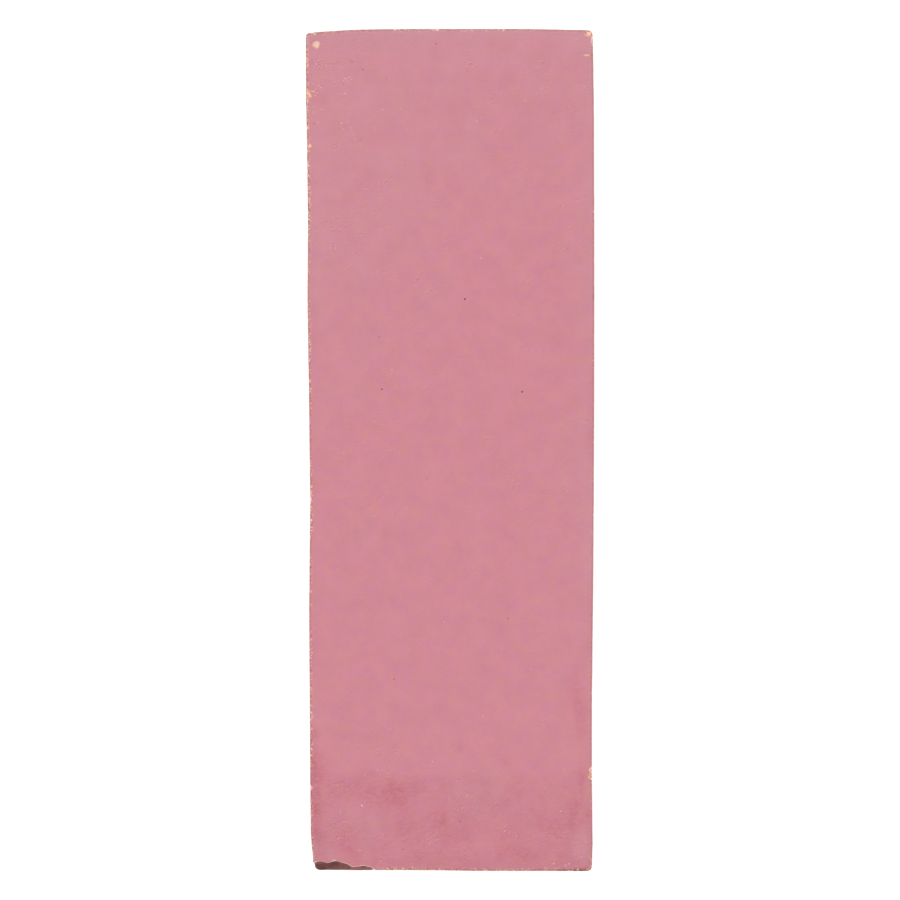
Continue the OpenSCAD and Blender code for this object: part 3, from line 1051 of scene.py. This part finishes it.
body = clay_body()
dress(
    body,
    clay_paint("fired_clay", CLAY_BROWN, CLAY_DARK, CLAY_RED, cloud_size=11, dust=0.4),
    clay_paint("broken_clay", CLAY_BROKEN, CLAY_SCORCHED, CLAY_ROSE, cloud_size=2.2, dust=0.0),
)
carve(body, break_cutter())
drop_crumbs(body)
set_masks(body, rosy=rosy_mask)
finish_piece(body, "clay_body")

slip = coat("slip_under_glaze", CLAY, SLIP, None, slip_limit, SLIP_SPACING)
dress(slip, slip_paint("cream_slip", orange=1.0), slip_paint("broken_slip", orange=0.5))
carve(slip, break_cutter())
slip_chips = arris_chips(SLIP, SLIP_CHIPS, smallest=0.12, largest=0.4, seed=231)
carve(slip, chip_cutter("slip_chips", slip_chips, CHIP_DETAIL, seed=241))
drop_crumbs(slip)
set_masks(
    slip,
    rim=lambda points: fade(inset_at(points[:, :2]), 1.3, 0.4),
    foot=lambda points: fade(TOP - points[:, 2], 1.2, 2.0),
)
finish_piece(slip, "slip_coat")

glaze = coat("pink_glaze", SLIP, GLAZE, slip_limit, glaze_limit, GLAZE_SPACING, spotted=True)
dress(glaze, glaze_paint(), broken_glaze_paint())
carve(glaze, break_cutter())
for index, nick in enumerate(nick_chips()):
    carve(glaze, chip_cutter("nick", [nick], NICK_DETAIL, seed=251 + index))
edge_chips = arris_chips(GLAZE, EDGE_CHIPS, smallest=0.1, largest=0.3, seed=301)
carve(glaze, chip_cutter("edge_chips", edge_chips, CHIP_DETAIL, seed=311))
drop_crumbs(glaze)
set_masks(
    glaze, rim=rim_mask, stain=stain_mask, shade=shade_mask, worn=side_mask, grime=grime_mask,
    cool=cool_mask, rough=roughness,
    pit=lambda points: np.clip(spot_relief(points[:, :2], FACE_PITS) / PIT_DEPTH, 0, 1),
    speck=lambda points: np.clip(spot_relief(points[:, :2], FACE_SPECKS) / SPECK_HEIGHT, 0, 1),
)
finish_piece(glaze, "glaze_coat")

# ---------- studio

FLOOR_SIZE = 8.0        # metres
FLOOR_GAP = 0.02        # keeps the floor clear of the back's high spots
FLOOR_GREY = 0.86
FLOOR_GLOW = 0.6        # strength of the floor's own light, which turns it white
AMBIENT = 0.57          # strength of the even light all round
CAMERA_HEIGHT = 1500    # above the face
FRAME_HEIGHT = 160.2    # how much of the face's plane the picture takes in
SENSOR = 36
CAMERA_RANGE = 20       # metres


def add_floor():
    """A wide white floor just under the bar."""
    half = FLOOR_SIZE / 2 / MM
    corners = [(x * half, y * half, -FLOOR_GAP) for x, y in ((-1, -1), (1, -1), (1, 1), (-1, 1))]
    floor = mesh_object("floor", corners, [(0, 1, 2, 3)])
    material = bpy.data.materials.new("floor_white")
    material.use_nodes = True
    shader = material.node_tree.nodes["Principled BSDF"]
    shader.inputs["Base Color"].default_value = (FLOOR_GREY, FLOOR_GREY, FLOOR_GREY, 1)
    shader.inputs["Roughness"].default_value = 0.9
    shader.inputs["Emission Color"].default_value = (1, 1, 1, 1)
    shader.inputs["Emission Strength"].default_value = FLOOR_GLOW
    floor.data.materials.append(material)


def add_softbox(name, place, size, watts):
    """A square area lamp aimed at the middle of the bar. Place and size are in metres."""
    data = bpy.data.lights.new(name, "AREA")
    data.size = size
    data.energy = watts
    lamp = bpy.data.objects.new(name, data)
    lamp.location = place
    lamp.rotation_euler = (-Vector(place)).to_track_quat("-Z", "Y").to_euler()
    bpy.context.scene.collection.objects.link(lamp)


def add_camera():
    """A camera straight above the face, far enough away to see it almost without perspective."""
    data = bpy.data.cameras.new("camera")
    data.sensor_width = SENSOR
    data.lens = SENSOR * CAMERA_HEIGHT / FRAME_HEIGHT
    data.clip_end = CAMERA_RANGE
    camera = bpy.data.objects.new("camera", data)
    camera.location = (0, 0, (CAMERA_HEIGHT + TOP) * MM)
    bpy.context.scene.collection.objects.link(camera)
    bpy.context.scene.camera = camera


world = bpy.data.worlds.new("studio")
bpy.context.scene.world = world
world.use_nodes = True
background = world.node_tree.nodes["Background"]
background.inputs["Color"].default_value = (1, 1, 1, 1)
background.inputs["Strength"].default_value = AMBIENT
add_floor()
add_softbox("key", (-0.8, 0.8, 1.5), size=1.2, watts=12)
add_softbox("fill", (1.0, -0.5, 1.5), size=1.4, watts=8)
add_camera()
bpy.context.scene.view_settings.view_transform = "Standard"
